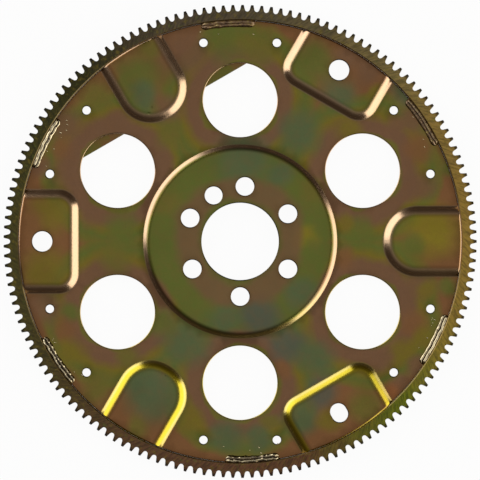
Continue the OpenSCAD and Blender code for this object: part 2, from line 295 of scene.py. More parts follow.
def sheet_film(finish):
    """Colour of the plated sheet: bands beside the holes under soft patches with uneven edges."""
    drift = finish.noise(finish.place, 0.035, 3.0, output="Color")
    drift = finish.vector("SUBTRACT", drift, (0.5, 0.5, 0.5))
    wandering = finish.vector("ADD", finish.place, finish.vector("SCALE", drift, scale=16.0))
    x, y, _ = finish.split(wandering)
    radius = finish.vector("LENGTH", finish.combine(x, y, 0.0))
    angle = finish.math("ARCTAN2", y, x)
    turn = math.radians(SECTOR)
    folded = finish.math("SUBTRACT", finish.math("FLOORED_MODULO", angle, turn), turn / 2)
    across = finish.math("SUBTRACT", finish.math("MULTIPLY", radius, finish.math("COSINE", folded)),
                         LIGHT_CIRCLE_R)
    along = finish.math("MULTIPLY", radius, finish.math("SINE", folded))
    from_hole = finish.math("SUBTRACT", finish.vector("LENGTH", finish.combine(across, along, 0.0)),
                            LIGHT_HOLE_R)
    band = finish.math("DIVIDE", from_hole, BAND_W, clamp=True)
    colour = finish.ramp(band, [
        (0.0, metal(OLIVE)), (0.08, metal(MAUVE)), (0.3, metal(MAUVE)), (0.5, metal(OCHRE)),
        (0.7, metal(GREEN)), (0.85, metal(OLIVE)), (1.0, metal(RUST))])
    inner = finish.smooth(radius, 66.0, 60.0)
    colour = finish.mix(inner, colour, metal(GREEN))
    for patch_x, patch_y, size, tone in SHEET_PATCHES:
        away = finish.vector("DISTANCE", finish.combine(x, y, 0.0), (patch_x, patch_y, 0.0))
        weight = finish.smooth(away, size * 1.05, size * 0.25, 0.0, 0.88)
        colour = finish.mix(weight, colour, metal(tone))
    from_hub_band = finish.math("ABSOLUTE", finish.math("SUBTRACT", radius, HUB_BAND_R))
    hub = finish.smooth(from_hub_band, 13.0, 4.0)
    return finish.mix(finish.math("MULTIPLY", hub, 0.8), colour, metal(MAUVE))


def sheet_finish():
    """Yellow chromate plating on the stamped sheet."""
    finish = Finish("plated_sheet")
    colour = sheet_film(finish)
    mottle = finish.noise(finish.place, 0.16, 4.0, 0.6)
    colour = finish.mix(finish.smooth(mottle, 0.35, 0.7, 0.0, 0.14), colour, metal(RUST))
    # Painted highlight: the film is painted paler on the bent walls, so that they show bright cream
    # highlights of the lamps, and golden there on the lower side
    x, y, z = finish.split(finish.place)
    lower = finish.smooth(finish.math("SUBTRACT", y, finish.math("MULTIPLY", x, 0.1)), -20.0, -85.0)
    lower_highlight_colour = finish.mix(finish.smooth(z, 7.6, 9.2), metal("#d6c472", 1.0), metal("#cdba30", 1.0))
    highlight_colour = finish.mix(lower, metal("#d6b696", 1.0), lower_highlight_colour)
    bend = finish.attribute("bend")
    colour = finish.mix(finish.math("MULTIPLY", bend, 0.85), colour, highlight_colour)
    # Painted shade: it is painted darker along the punched edges of the small holes, so that their
    # rolled edges stay dark all round
    edge = finish.attribute("edge")
    colour = finish.mix(finish.math("MULTIPLY", edge, 0.95), colour, metal("#1f1b10"))
    grain = finish.noise(finish.place, 2.2, 3.0, 0.6)
    speckle = finish.smooth(grain, 0.3, 0.75, 0.9, 1.1)
    colour = finish.mix(1.0, colour, finish.combine(speckle, speckle, speckle), "MULTIPLY")
    cloud = finish.noise(finish.place, 0.05, 3.0)
    roughness = finish.math("MULTIPLY_ADD", cloud, 0.12, 0.17)
    rolled = finish.noise(finish.vector("MULTIPLY", finish.place, (0.5, 5.0, 1.0)), 1.0, 2.0)
    normal = finish.bump(grain, 0.012, 0.5)
    normal = finish.bump(rolled, 0.008, 0.4, normal)
    return finish.finish(colour, roughness, normal)


# Colours round the ring, from the angle opposite to +X
RING_TONES = (
    (0.0, "#433e20"), (0.08, "#433b20"), (0.2, "#5a3e2c"), (0.3, "#593c28"), (0.37, "#5d6416"),
    (0.45, "#846c30"), (0.55, "#846a32"), (0.63, "#74643c"), (0.72, "#514836"), (0.8, "#4b4032"),
    (0.88, "#2e2b13"), (0.94, "#3c381c"), (1.0, "#433e20"),
)


def ring_finish():
    """Yellow chromate plating over the machined ring, with its cutting marks."""
    finish = Finish("plated_ring")
    x, y, z = finish.split(finish.place)
    angle = finish.math("ARCTAN2", y, x)
    radius = finish.vector("LENGTH", finish.combine(x, y, 0.0))
    share = finish.math("MULTIPLY_ADD", angle, 0.5 / math.pi, 0.5)
    drift = finish.noise(finish.place, 0.04, 3.0)
    share = finish.math("ADD", share, finish.math("MULTIPLY_ADD", drift, 0.08, -0.04), clamp=True)
    colour = finish.ramp(share, [(p, metal(c)) for p, c in RING_TONES])
    spots = finish.noise(finish.place, 0.28, 4.0, 0.65)
    colour = finish.mix(finish.smooth(spots, 0.5, 0.72, 0.0, 0.6), colour, metal(OCHRE))
    colour = finish.mix(finish.smooth(spots, 0.46, 0.28, 0.0, 0.5), colour, metal(GREEN))
    # Slanting cutting marks, darker tooth tips and a paler bevel at the bore
    around = finish.math("MULTIPLY", angle, 160.0)
    slant = finish.math("MULTIPLY_ADD", radius, 0.8, around)
    marks = finish.noise(finish.combine(slant, finish.math("MULTIPLY", radius, 0.25), z), 0.6, 3.0, 0.7)
    dark = finish.smooth(marks, 0.32, 0.66, 0.62, 1.35)
    colour = finish.mix(1.0, colour, finish.combine(dark, dark, dark), "MULTIPLY")
    tips = finish.smooth(radius, TIP_R - 3.5, TIP_R - 0.8)
    colour = finish.mix(finish.math("MULTIPLY", tips, 0.85), colour, metal("#1d1a10"))
    bore = finish.smooth(radius, BORE_R + 0.9, BORE_R + 0.5)
    colour = finish.mix(finish.math("MULTIPLY", bore, 0.6), colour, metal("#7a6846"))
    rough = finish.math("MULTIPLY_ADD", marks, 0.25, 0.25)
    pits = finish.noise(finish.place, 1.4, 3.0, 0.65)
    normal = finish.bump(marks, 0.05, 0.6)
    normal = finish.bump(pits, 0.03, 0.4, normal)
    return finish.finish(colour, rough, normal)


def weight_finish():
    """Plating on the cut plate of the balance weight."""
    finish = Finish("plated_weight")
    drift = finish.noise(finish.place, 0.05, 3.0)
    colour = finish.ramp(drift, [(0.3, metal(GREEN)), (0.5, metal(OLIVE)), (0.7, metal(RUST))])
    grain = finish.noise(finish.vector("MULTIPLY", finish.place, (1.0, 1.0, 4.0)), 1.6, 3.0, 0.6)
    tone = finish.smooth(grain, 0.3, 0.75, 0.85, 1.12)
    colour = finish.mix(1.0, colour, finish.combine(tone, tone, tone), "MULTIPLY")
    roughness = finish.math("MULTIPLY_ADD", grain, 0.2, 0.25)
    return finish.finish(colour, roughness, finish.bump(grain, 0.03, 0.5))


def weld_finish():
    """Plated weld metal: dull and brown on some beads, and on the glossy ones a dark body of painted
    shade with painted highlights along their ridges.
    """
    finish = Finish("weld_bead", coat=0.6, coat_roughness=0.08)
    lumps = finish.noise(finish.place, 0.4, 4.0, 0.6)
    dull = finish.ramp(lumps, [
        (0.3, metal("#453523")), (0.5, metal("#765c44")), (0.7, metal("#8a7844"))])
    # Painted shade: the dark body of the glossy beads
    shaded_body = finish.ramp(lumps, [
        (0.3, metal("#21170e")), (0.5, metal("#3f3020")), (0.7, metal("#55482a"))])
    # How glossy each bead is, which also sets how strongly its painted shade and painted highlights show
    gloss_and_glint = finish.attribute("gloss_and_glint")
    colour = finish.mix(gloss_and_glint, dull, shaded_body)
    # Painted highlight: pale lines along the ridges of the glossy beads
    ridge_highlight = finish.math("MULTIPLY", finish.attribute("ridge_highlight"), finish.smooth(lumps, 0.3, 0.5, 0.4, 0.95))
    colour = finish.mix(ridge_highlight, colour, metal("#f2e4bc", 1.0))
    ripple = finish.noise(finish.place, 0.8, 2.0, 0.5)
    roughness = finish.math("MULTIPLY_ADD", lumps, 0.14, finish.smooth(gloss_and_glint, 0.0, 1.0, 0.36, 0.08))
    return finish.finish(colour, roughness, finish.bump(ripple, 0.05, 0.5))


def pad_of(sector):
    return PLAIN_PAD if sector % 2 == 0 else BOLT_PAD


def to_sector(xy):
    """Index of the nearest pad of each point, and the points turned so that it lies along +X."""
    angle = np.degrees(np.arctan2(xy[:, 1], xy[:, 0]))
    sector = np.round(angle / SECTOR).astype(int) % SECTORS
    turn = np.radians(-sector * SECTOR)
    x = xy[:, 0] * np.cos(turn) - xy[:, 1] * np.sin(turn)
    y = xy[:, 0] * np.sin(turn) + xy[:, 1] * np.cos(turn)
    return sector, x, np.abs(y)


def sized(sector, key):
    """A size of the pad in each sector."""
    return np.where(sector % 2 == 0, PLAIN_PAD[key], BOLT_PAD[key])


def pad_depth(xy):
    """Distance from the foot of the nearest pad, positive inside it."""
    sector, x, y = to_sector(xy)
    inner, corner, half = sized(sector, "inner"), sized(sector, "corner"), sized(sector, "width") / 2
    from_x, from_y = x - inner - corner, y - half + corner
    rounded = corner - np.hypot(from_x, from_y)
    return np.where((from_x < 0) & (from_y > 0), rounded, np.minimum(x - inner, half - y))


def profile(depth, form, run, crown_r, foot_r):
    """Height of a wall over its foot level, and the sine of its tilt."""
    slope = math.radians(form["slope"])
    foot_end = foot_r * math.sin(slope)
    crown_start = run - crown_r * math.sin(slope)
    to_top = np.clip(run - depth, 0, crown_r)
    up = np.clip(depth, 0, foot_r)
    on_foot = foot_r - np.sqrt(foot_r ** 2 - up ** 2)
    on_wall = foot_r * (1 - math.cos(slope)) + (depth - foot_end) * math.tan(slope)
    on_crown = form["rise"] - crown_r + np.sqrt(crown_r ** 2 - to_top ** 2)
    steps = [depth <= 0, depth < foot_end, depth < crown_start, depth < run]
    height = np.select(steps, [0 * depth, on_foot, on_wall, on_crown], form["rise"])
    tilt = np.select(steps, [0 * depth, up / foot_r, 0 * depth + math.sin(slope), to_top / crown_r], 0)
    return height, tilt


# Rise of a wall's tilt (its sine) from the first painted highlight tint to the palest
WALL_HIGHLIGHT_SPAN = 0.28


def raised(depths, side_shift):
    """Summed heights of the boss and the pads, for one face of the sheet, and how strongly their walls
    are painted pale as a highlight. The tops sag a little towards their crowns."""
    height, wall_highlight = 0, 0
    for depth, form, run in zip(depths, (BOSS, PAD), (BOSS_RUN, PAD_RUN)):
        h, t = profile(depth, form, run, form["crown_r"] - side_shift, form["foot_r"] + side_shift)
        sag = form["sag"] * np.exp(-((depth - run) / form["sag_w"]) ** 2) * h / form["rise"]
        height = height + h - sag
        wall_highlight = np.maximum(wall_highlight, (t - form["wall_highlight"]) / WALL_HIGHLIGHT_SPAN)
    return height, wall_highlight


# Number of sides of the large holes, the bolt holes and the rim holes
LARGE_SIDES = 128
BOLT_SIDES = 56
RIM_SIDES = 40


def sheet_holes():
    """Centre, radius, half slot travel, slot direction and side count of every hole."""
    holes = [((0.0, 0.0), CENTRE_HOLE_R, 0.0, 0, LARGE_SIDES)]
    for angle in CRANK_ANGLES:
        holes.append((polar(CRANK_CIRCLE_R, angle), CRANK_HOLE_R, 0.0, angle, BOLT_SIDES))
    holes.append((polar(DOWEL_CIRCLE_R, HEAVY_ANGLE), DOWEL_HOLE_R, 0.0, HEAVY_ANGLE, BOLT_SIDES))
    for angle in CONVERTER_ANGLES:
        holes.append((polar(CONVERTER_CIRCLE_R, angle), CONVERTER_HOLE_R, 0.0, angle, BOLT_SIDES))
    slot_centre = polar(CONVERTER_CIRCLE_R, SLOT_ANGLE)
    holes.append((slot_centre, SLOT_HALF_W, SLOT_TRAVEL, SLOT_ANGLE, BOLT_SIDES))
    rim_turn = math.degrees(math.asin(RIM_HOLE_OFFSET / RIM_CIRCLE_R))
    for i in range(SECTORS):
        middle = (i + 0.5) * SECTOR
        holes.append((polar(LIGHT_CIRCLE_R, middle), LIGHT_HOLE_R, 0.0, middle, LARGE_SIDES))
        for side in (-1, 1):
            rim_centre = polar(RIM_CIRCLE_R, middle + side * rim_turn)
            holes.append((rim_centre, RIM_HOLE_R, 0.0, middle, RIM_SIDES))
    return holes


HOLES = sheet_holes()
# Insets of the lines across a rolled edge, as shares of its width, and the widths of these edges
EDGE_STEPS = (0.0, 0.15, 0.35, 0.6, 1.0)
HOLE_EDGE = 0.7
WEB_EDGE = 0.4
PAD_EDGE = 1.4


def hole_distance(xy, hole):
    """Distance from the edge of a hole, positive outside it."""
    centre, radius, travel, angle, _ = hole
    along = polar(1.0, angle)
    rel = xy - np.asarray(centre)
    slide = np.clip(rel @ along, -travel, travel)
    return np.linalg.norm(rel - slide[:, None] * along, axis=1) - radius


def rim_edge(xy):
    """Width of the rolled front edge along the rim, which is larger on the pads."""
    return WEB_EDGE + (PAD_EDGE - WEB_EDGE) * np.clip(pad_depth(xy) / PAD_RUN, 0, 1)


# Small dents in the pads: x, y, radius and depth
DENTS = (
    (-63.0, 88.4, 1.2, 0.16), (-60.9, 92.5, 0.9, 0.12),
    (-51.2, -92.4, 0.8, 0.1), (-45.7, -95.8, 0.8, 0.1),
)


def dents(xy):
    """Depth of the dents at the points."""
    total = np.zeros(len(xy))
    for x, y, radius, depth in DENTS:
        share = np.clip(np.hypot(xy[:, 0] - x, xy[:, 1] - y) / radius, 0, 1)
        total += depth * (1 + np.cos(math.pi * share)) / 2
    return total


class Plan:
    """Points and fixed edges of a flat drawing that gets filled with triangles."""

    def __init__(self):
        self.points = []
        self.edges = []

    def line(self, points, closed):
        start, count = len(self.points), len(points)
        self.points.extend((float(p[0]), float(p[1])) for p in points)
        self.edges.extend((start + i, start + i + 1) for i in range(count - 1))
        if closed:
            self.edges.append((start + count - 1, start))


def hole_line(hole, grow):
    """Points round a hole or slot that is made larger by grow."""
    centre, radius, travel, angle, sides = hole
    points = []
    for i in range(sides):
        turn = angle - 90 + 360 * (i + 0.5) / sides
        push = travel if i < sides / 2 else -travel
        points.append(centre + polar(radius + grow, turn) + polar(push, angle))
    return points


def rim_line(step):
    """Outer edge of the sheet, drawn in by one step of the rolled edge."""
    rim = np.array([polar(WEB_R, a) for a in np.linspace(0, 360, RIM_STEPS + 1)[:-1]])
    return rim * (1 - rim_edge(rim) * step / WEB_R)[:, None]


def pad_line(sector, depth):
    """Line along a pad's wall at a depth inside its foot, from rim to rim."""
    pad = pad_of(sector)
    half, corner = pad["width"] / 2, pad["corner"]
    side, corner_x, corner_y = half - depth, pad["inner"] + corner, half - corner
    arc = [(corner_x - (corner - depth) * math.sin(a), corner_y + (corner - depth) * math.cos(a))
           for a in np.linspace(0, math.pi / 2, 17)]
    out = [(x, side) for x in np.linspace(WEB_R + 2, corner_x, 16)[:-1]]
    upper = out + arc
    across = [(pad["inner"] + depth, y) for y in np.linspace(corner_y, -corner_y, 12)[1:-1]]
    lower = [(x, -y) for x, y in reversed(upper)]
    turn = math.radians(sector * SECTOR)
    return [(x * math.cos(turn) - y * math.sin(turn), x * math.sin(turn) + y * math.cos(turn))
            for x, y in upper + across + lower]


# Lines across a wall, spacing of the points on the flats, and their least distance from the lines
WALL_STEPS = 11
GRID_STEP = 5.0
CLEAR = 1.8
# Points round the rim and round each line of the boss
RIM_STEPS = 720
BOSS_STEPS = 240


def sheet_plan():
    """Drawing of the sheet: lines along its edges, bends and dents, and points over its flats."""
    plan = Plan()
    for step in EDGE_STEPS:
        plan.line(rim_line(step), True)
        for hole in HOLES:
            plan.line(hole_line(hole, HOLE_EDGE * step), True)
    for share in np.linspace(0, 1, WALL_STEPS):
        boss_r = BOSS_FOOT_R - share * BOSS_RUN
        plan.line([polar(boss_r, a) for a in np.linspace(0, 360, BOSS_STEPS + 1)[:-1]], True)
        for sector in range(SECTORS):
            plan.line(pad_line(sector, share * PAD_RUN), False)
    for x, y, radius, _ in DENTS:
        for share in (0.3, 0.6, 0.8, 1.0):
            plan.line([(x, y) + polar(radius * share, a) for a in range(0, 360, 30)], True)
    rows = np.arange(-WEB_R, WEB_R, GRID_STEP)
    grid = np.array([(x + (j % 2) * GRID_STEP / 2, y) for j, y in enumerate(rows) for x in rows])
    radius = np.hypot(grid[:, 0], grid[:, 1])
    depth = pad_depth(grid)
    keep = radius < WEB_R - PAD_EDGE - CLEAR
    keep &= (depth < -CLEAR) | (depth > PAD_RUN + CLEAR)
    keep &= (radius < BOSS_FOOT_R - BOSS_RUN - CLEAR) | (radius > BOSS_FOOT_R + CLEAR)
    for hole in HOLES:
        keep &= hole_distance(grid, hole) > HOLE_EDGE + CLEAR
    plan.points.extend(map(tuple, grid[keep].tolist()))
    return plan


# Depth of a rolled edge, as a share of its width
ROLL = 0.46
# Painted highlight: the film is painted paler towards the rolled edges of the rim and the lightening
# holes, by this gain, less this loss
EDGE_HIGHLIGHT_GAIN = 2.3
EDGE_HIGHLIGHT_LOSS = 1.07
# Spread and height of the slight unevenness of the sheet
SWAY_SPREAD = 38
SWAY_HEIGHT = 0.04
# Allowance for straight sides: at the rim in millimetres, at a hole times radius / sides squared
RIM_SAG = 0.004
HOLE_SAG = 9


def rolled_drop(inset, width):
    """How far the sheared edge, rolled over a width, has fallen at an inset from it."""
    return ROLL * width * np.clip(1 - inset / width, 0, 1) ** 2


def build_disc():
    """The stamped sheet with round bends, eased edges and slightly uneven flats."""
    plan = sheet_plan()
    points = [Vector(p) for p in plan.points]
    flat, _, faces, _, _, _ = delaunay_2d_cdt(points, plan.edges, [], 0, 1e-5, False)
    xy = np.array([(p[0], p[1]) for p in flat])
    faces = np.array(faces)
    middle = xy[faces].mean(axis=1)
    radius = np.hypot(middle[:, 0], middle[:, 1])
    keep = radius < WEB_R - RIM_SAG
    for hole in HOLES:
        _, hole_r, _, _, sides = hole
        keep &= hole_distance(middle, hole) > -HOLE_SAG * hole_r / sides ** 2
    faces = faces[keep]
    used, faces = np.unique(faces, return_inverse=True)
    faces = faces.reshape(-1, 3)
    xy = xy[used]

    radius = np.hypot(xy[:, 0], xy[:, 1])
    depths = (BOSS_FOOT_R - radius, pad_depth(xy))
    front, wall_highlight = raised(depths, 0.0)
    back, _ = raised(depths, SHEET_T)
    sway = [noise.noise(Vector((x / SWAY_SPREAD, y / SWAY_SPREAD, 3.7))) - 1.0 for x, y in xy]
    sway = np.array(sway) * SWAY_HEIGHT
    rim_inset = np.clip(WEB_R - radius, 0, None)
    fall_front = rolled_drop(rim_inset, rim_edge(xy)) + dents(xy)
    fall_back = rolled_drop(rim_inset, WEB_EDGE)
    # Painted highlight: the film is painted paler along the rolled edges of the rim and of the
    # lightening holes
    edge_highlight = np.clip(1 - rim_inset / rim_edge(xy), 0, 1)
    punched_edge_shade = np.zeros(len(xy))
    for hole in HOLES:
        from_hole = np.clip(hole_distance(xy, hole), 0, None)
        fall = rolled_drop(from_hole, HOLE_EDGE)
        fall_front = fall_front + fall
        fall_back = fall_back + fall
        near = np.clip(1 - from_hole / HOLE_EDGE, 0, 1)
        if hole[1] == LIGHT_HOLE_R:
            edge_highlight = np.maximum(edge_highlight, near)
        else:
            punched_edge_shade = np.maximum(punched_edge_shade, near)
    top = np.column_stack([xy, WEB_FRONT + front + sway - fall_front])
    under = np.column_stack([xy, WEB_BACK + back + sway + fall_back])

    count = len(xy)
    skin = faces.tolist() + (faces[:, ::-1] + count).tolist()
    owned = {}
    for a, b, c in faces.tolist():
        for edge in ((a, b), (b, c), (c, a)):
            owned[edge] = True
    for a, b in owned:
        if (b, a) not in owned:
            skin.append([a, a + count, b + count, b])
    obj = new_object("disc_sheet", np.vstack([top, under]), skin)
    # Painted shade along the punched edges of the small holes
    edge = obj.data.attributes.new("edge", "FLOAT", "POINT")
    edge.data.foreach_set("value", np.concatenate([punched_edge_shade, punched_edge_shade]))
    # Painted highlight tint on the bent walls and on the rolled edges of the rim and the lightening
    # holes
    bend = obj.data.attributes.new("bend", "FLOAT", "POINT")
    ease = np.clip(np.maximum(wall_highlight, EDGE_HIGHLIGHT_GAIN * edge_highlight - EDGE_HIGHLIGHT_LOSS), 0, 1)
    ease = ease * ease * (3 - 2 * ease)
    bend.data.foreach_set("value", np.concatenate([ease, ease]))
    return obj


def tooth_outline(steps=10):
    """Points round the teeth, counterclockwise, the same number for each tooth."""
    root_r = TIP_R - TOOTH_DEPTH
    pitch = 2 * math.pi / TOOTH_COUNT
    half_w = (root_r + GULLET_DEPTH) * math.sin(pitch / 2) - TOOTH_BASE_W / 2
    arc_r = (half_w ** 2 + GULLET_DEPTH ** 2) / (2 * GULLET_DEPTH)
    arc_half = math.asin(half_w / arc_r)
    # A tip's corners are cut down the flank, along the top and by the flank's spread
    down, along, spread = 0.15, 0.12, 0.04
    cell = [(TIP_R - down, -TOOTH_TIP_W / 2 - spread), (TIP_R, -TOOTH_TIP_W / 2 + along),
            (TIP_R, TOOTH_TIP_W / 2 - along), (TIP_R - down, TOOTH_TIP_W / 2 + spread)]
    for i in range(steps + 1):
        a = arc_half * (2 * i / steps - 1)
        x, y = root_r + arc_r * (1 - math.cos(a)), arc_r * math.sin(a)
        c, s = math.cos(pitch / 2), math.sin(pitch / 2)
        cell.append((x * c - y * s, x * s + y * c))
    points = []
    for i in range(TOOTH_COUNT):
        c, s = math.cos(i * pitch), math.sin(i * pitch)
        points.extend((x * c - y * s, x * s + y * c) for x, y in cell)
    return np.array(points)


def drawn_in(points, inset):
    """The closed outline moved inward by an inset."""
    along = np.roll(points, -1, axis=0) - points
    along /= np.linalg.norm(along, axis=1)[:, None]
    out = np.column_stack([along[:, 1], -along[:, 0]])
    before = np.roll(out, 1, axis=0)
    shift = (out + before) / (1 + (out * before).sum(axis=1))[:, None]
    return points - inset * shift


def zip_rings(outer, inner, outer_angles, inner_angles, up):
    """Triangles between two closed rows of points that both run counterclockwise."""
    faces = []
    i = j = 0
    n, m = len(outer), len(inner)
    while i < n or j < m:
        next_outer = outer_angles[i + 1] if i + 1 < n else outer_angles[(i + 1) % n] + 2 * math.pi
        next_inner = inner_angles[j + 1] if j + 1 < m else inner_angles[(j + 1) % m] + 2 * math.pi
        if j >= m or (i < n and next_outer <= next_inner):
            face = [outer[i % n], outer[(i + 1) % n], inner[j % m]]
            i += 1
        else:
            face = [outer[i % n], inner[(j + 1) % m], inner[j % m]]
            j += 1
        faces.append(face if up else face[::-1])
    return faces


def build_ring():
    """The starter ring, with eased tooth edges at the front and bevelled tooth ends at the back."""
    ease = 0.22
    outline = tooth_outline()
    reach = np.hypot(outline[:, 0], outline[:, 1])
    cone_r = TIP_R - TOOTH_BEVEL
    high = drawn_in(outline, ease)
    high_reach = np.hypot(high[:, 0], high[:, 1])
    low = high * np.minimum(1, cone_r / high_reach)[:, None]
    count = len(outline)
    rows = [
        np.column_stack([low, np.zeros(count)]),
        np.column_stack([outline, np.maximum(ease, reach - cone_r)]),
        np.column_stack([outline, np.full(count, RING_W - ease)]),
        np.column_stack([high, np.full(count, RING_W)]),
    ]
    bore_count = 3 * TOOTH_COUNT
    start = math.atan2(outline[0, 1], outline[0, 0])
    bore_angles = start + np.arange(bore_count) * 2 * math.pi / bore_count
    circle = np.column_stack([np.cos(bore_angles), np.sin(bore_angles)])
    bore = [(BORE_R + BORE_BEVEL, 0.0), (BORE_R, BORE_BEVEL),
            (BORE_R, RING_W - BORE_BEVEL), (BORE_R + BORE_BEVEL, RING_W)]
    rows += [np.column_stack([circle * r, np.full(bore_count, z)]) for r, z in bore]
    faces = []
    for level in range(3):
        a, b = level * count, (level + 1) * count
        for i in range(count):
            j = (i + 1) % count
            faces.append([a + i, a + j, b + j, b + i])
    base = 4 * count
    for level in range(3):
        a, b = base + level * bore_count, base + (level + 1) * bore_count
        for i in range(bore_count):
            j = (i + 1) % bore_count
            faces.append([a + j, a + i, b + i, b + j])
    angles = np.unwrap(np.arctan2(outline[:, 1], outline[:, 0]))
    first_bore = list(range(base, base + bore_count))
    last_bore = list(range(base + 3 * bore_count, base + 4 * bore_count))
    faces += zip_rings(list(range(3 * count, 4 * count)), last_bore, angles, bore_angles, True)
    faces += zip_rings(list(range(count)), first_bore, angles, bore_angles, False)
    return new_object("starter_ring", np.vstack(rows), faces, 30)


def build_weight():
    """The balance weight: a cut plate with eased edges."""
    ease, ease_middle = 0.4, 0.12
    weight_front, weight_back = WEB_BACK, WEB_BACK - WEIGHT_T
    far = math.sqrt(WEIGHT_RADIUS ** 2 - WEIGHT_HALF ** 2)
    points = [(WEIGHT_CHORD, y) for y in np.linspace(WEIGHT_HALF, -WEIGHT_HALF, 30)]
    a = math.atan2(WEIGHT_HALF, far)
    for t in np.linspace(-a, a, 60):
        points.append((WEIGHT_RADIUS * math.cos(t), WEIGHT_RADIUS * math.sin(t)))
    outline = np.array(points)
    gap = np.linalg.norm(outline - np.roll(outline, 1, axis=0), axis=1)
    outline = outline[gap > 0.01]
    turn = math.radians(HEAVY_ANGLE)
    c, s = math.cos(turn), math.sin(turn)
    spin = np.array([[c, s], [-s, c]])
    count = len(outline)
    rows = []
    steps = ((ease, weight_back), (ease_middle, weight_back + ease_middle),
             (0.0, weight_back + ease), (0.0, weight_front))
    for inset, z in steps:
        rows.append(np.column_stack([drawn_in(outline, inset) @ spin, np.full(count, z)]))
    faces = [list(range(count))[::-1], list(range(3 * count, 4 * count))]
    for level in range(3):
        a, b = level * count, (level + 1) * count
        faces += [[a + i, a + (i + 1) % count, b + (i + 1) % count, b + i] for i in range(count)]
    return new_object("weight_plate", np.vstack(rows), faces, 40)


# The centre of a bead's round, away from the wall and below the sheet, as shares of its radius
BEAD_OFFSET = 0.56
BEAD_SINK = 0.12
# Length of one ripple, spacing of the rows along a bead, and steps across it
PUDDLE = 2.3
ROW_STEP = 0.28
ACROSS_STEPS = 24
# How far the hidden side of a bead lies inside the wall and the sheet
TUCK = 0.05
# Shares across a bead: place and width of its groove, then distance and width of the painted highlight
# lines on the ridges beside it
GROOVE_AT = 0.52
GROOVE_W = 0.12
HIGHLIGHT_AT = 0.24
HIGHLIGHT_W = 0.11


def build_bead(name, corner, half_length, radius, seed, groove, gloss_and_glint, broken, lumpy, spatter=0):
    """A weld bead in a corner. corner(s) gives a point of the corner line at the length s, and
    the directions away from the wall and up from the sheet."""
    rng = random.Random(seed)
    end = half_length + radius * 0.98
    stations = np.linspace(-end, end, int(end * 2 / ROW_STEP))
    points, faces, ridge_highlights = [], [], []
    for s in stations:
        past = max(0.0, abs(s) - half_length) / radius
        lump = noise.noise(Vector((s * 0.22, seed * 7.1, 0.0)))
        size = radius * math.sqrt(max(0.03, 1 - past * past)) * (0.93 + 0.1 * lump)
        # Where the painted highlight lines break off along the bead
        gap = 0.4 - 2.6 * noise.noise(Vector((s * 0.16, seed * 5.3, 1.0)))
        bright = gloss_and_glint * (1 - broken * min(1.0, max(0.0, gap)))
        at, away, up = corner(s)
        low = math.asin(min(1.0, BEAD_SINK * radius / size)) if size > BEAD_SINK * radius else 0.6
        reach = BEAD_OFFSET * radius / size
        high = math.acos(-reach) if reach < 1 else math.pi - low
        row = []
        for k in range(ACROSS_STEPS + 1):
            turn = low + (high - low) * k / ACROSS_STEPS
            share = k / ACROSS_STEPS
            wave = (s + 1.5 * math.sin(math.pi * share)) / PUDDLE
            ripple = 0.02 * (abs(2 * (wave - math.floor(wave)) - 1) - 0.5)
            rough = lumpy * noise.noise(Vector((s * 0.4, share * 2.5, seed * 3.3)))
            middle = GROOVE_AT + 0.2 * lump
            dip = groove * math.exp(-((share - middle) / GROOVE_W) ** 2)
            # Painted highlight lines on the two ridges beside the groove
            ridge_highlights.append(bright * math.exp(-((abs(share - middle) - HIGHLIGHT_AT) / HIGHLIGHT_W) ** 2))
            r = size * (1 + ripple + rough - dip)
            a = max(0.0, BEAD_OFFSET * radius + r * math.cos(turn))
            h = max(0.0, r * math.sin(turn) - BEAD_SINK * radius)
            row.append((a, h))
        row[0] = (row[0][0], -TUCK)
        row[-1] = (-TUCK if reach < 1 else row[-1][0], row[-1][1])
        row.append((-TUCK, -TUCK))
        ridge_highlights.append(0.0)
        points.extend(np.asarray(at) + np.asarray(away) * a + np.asarray(up) * h for a, h in row)
    width = ACROSS_STEPS + 2
    last = len(stations) - 1
    turned = np.dot(np.cross(corner(0.1)[0] - corner(0.0)[0], corner(0.0)[1]), corner(0.0)[2]) < 0
    for i in range(last):
        for k in range(width):
            n = (k + 1) % width
            face = [i * width + k, (i + 1) * width + k, (i + 1) * width + n, i * width + n]
            faces.append(face[::-1] if turned else face)
    caps = [list(range(width)), [last * width + k for k in range(width)][::-1]]
    faces += [cap[::-1] if turned else cap for cap in caps]
    for _ in range(spatter):
        s = rng.uniform(-end - 3, end + 3)
        at, away, up = corner(s)
        size = rng.uniform(0.3, 0.65)
        drop = np.asarray(at) + np.asarray(away) * rng.uniform(5.2, 11.0) + np.asarray(up) * size * 0.1
        add_drop(points, faces, drop, size)
    obj = new_object(name, np.array(points), faces, 60)
    # Painted highlights along the ridges, and on the spatter drops
    ridge_highlight = obj.data.attributes.new("ridge_highlight", "FLOAT", "POINT")
    ridge_highlight.data.foreach_set("value", ridge_highlights + [0.6] * (len(points) - len(ridge_highlights)))
    # How glossy the bead is, and how strongly its painted highlights and painted shade show
    gloss_and_glint_layer = obj.data.attributes.new("gloss_and_glint", "FLOAT", "POINT")
    gloss_and_glint_layer.data.foreach_set("value", [gloss_and_glint] * len(points))
    return obj


def add_drop(points, faces, centre, size, sides=8, rings=5):
    """A small drop of weld spatter: a flattened ball that sits in the sheet."""
    start = len(points)
    points.append(centre - np.array([0, 0, size * 0.7]))
    for j in range(1, rings):
        tilt = math.pi * j / rings - math.pi / 2
        for i in range(sides):
            xy = polar(size * math.cos(tilt), 360 * i / sides)
            points.append(centre + np.array([xy[0], xy[1], 0.7 * size * math.sin(tilt)]))
    points.append(centre + np.array([0, 0, size * 0.7]))
    top = len(points) - 1
    for i in range(sides):
        n = (i + 1) % sides
        faces.append([start, start + 1 + n, start + 1 + i])
        for j in range(rings - 2):
            a = start + 1 + j * sides
            faces.append([a + i, a + n, a + sides + n, a + sides + i])
        a = start + 1 + (rings - 2) * sides
        faces.append([a + i, a + n, top])


